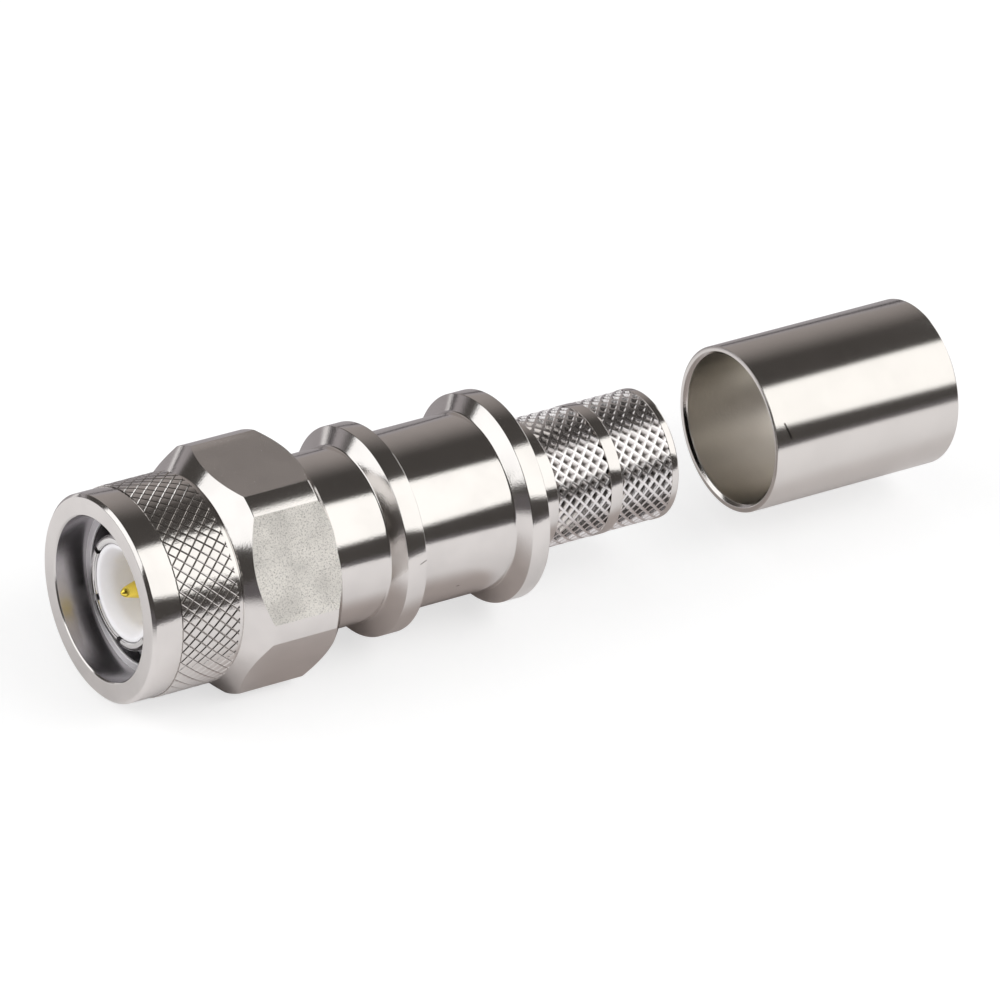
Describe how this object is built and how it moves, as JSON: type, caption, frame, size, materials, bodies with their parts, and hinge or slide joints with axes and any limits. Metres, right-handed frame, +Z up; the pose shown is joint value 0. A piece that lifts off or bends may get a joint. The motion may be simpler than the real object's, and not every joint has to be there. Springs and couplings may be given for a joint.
{
  "type": "tnc crimp plug",
  "caption": "Coaxial cable plug with a knurled hexagonal screw-coupling nut, a pointed centre pin, a knurled crimp neck and a loose crimp ferrule.",
  "frame": {"origin": "centre of the coupling nut's mouth, on the plug's axis", "axes": "+X along the axis, back towards the cable; +Z up, with one flat of the nut's hexagon facing down"},
  "size_m": [0.0676, 0.0174, 0.0158],
  "materials": {
    "nickel_nut": "nickel plated, polished",
    "nickel_body": "nickel plated, polished",
    "nickel_ferrule": "nickel plated, satin inside",
    "spring_metal": "nickel plated, satin",
    "contact_metal": "nickel plated, bright",
    "gold": "gold plated, polished",
    "ptfe": "smooth, soft sheen",
    "silicone": "matt"
  },
  "bodies": {
    "body": {"plug_body": "nickel_body", "snap_ring": "spring_metal", "gasket": "silicone", "outer_contact": "contact_metal", "front_insulator": "ptfe", "rear_insulator": "ptfe", "centre_contact": "gold"},
    "nut": {"coupling_nut": "nickel_nut"},
    "ferrule": {"crimp_ferrule": "nickel_ferrule"}
  },
  "joints": [
    {"name": "nut_spin", "type": "hinge", "parent": "body", "child": "nut", "pos_m": [0.0125, 0, 0], "axis": [1, 0, 0], "continuous": true},
    {"name": "ferrule_slide", "type": "slide", "parent": "body", "child": "ferrule", "axis": [-1, 0, 0], "range_m": [0, 0.02]}
  ]
}
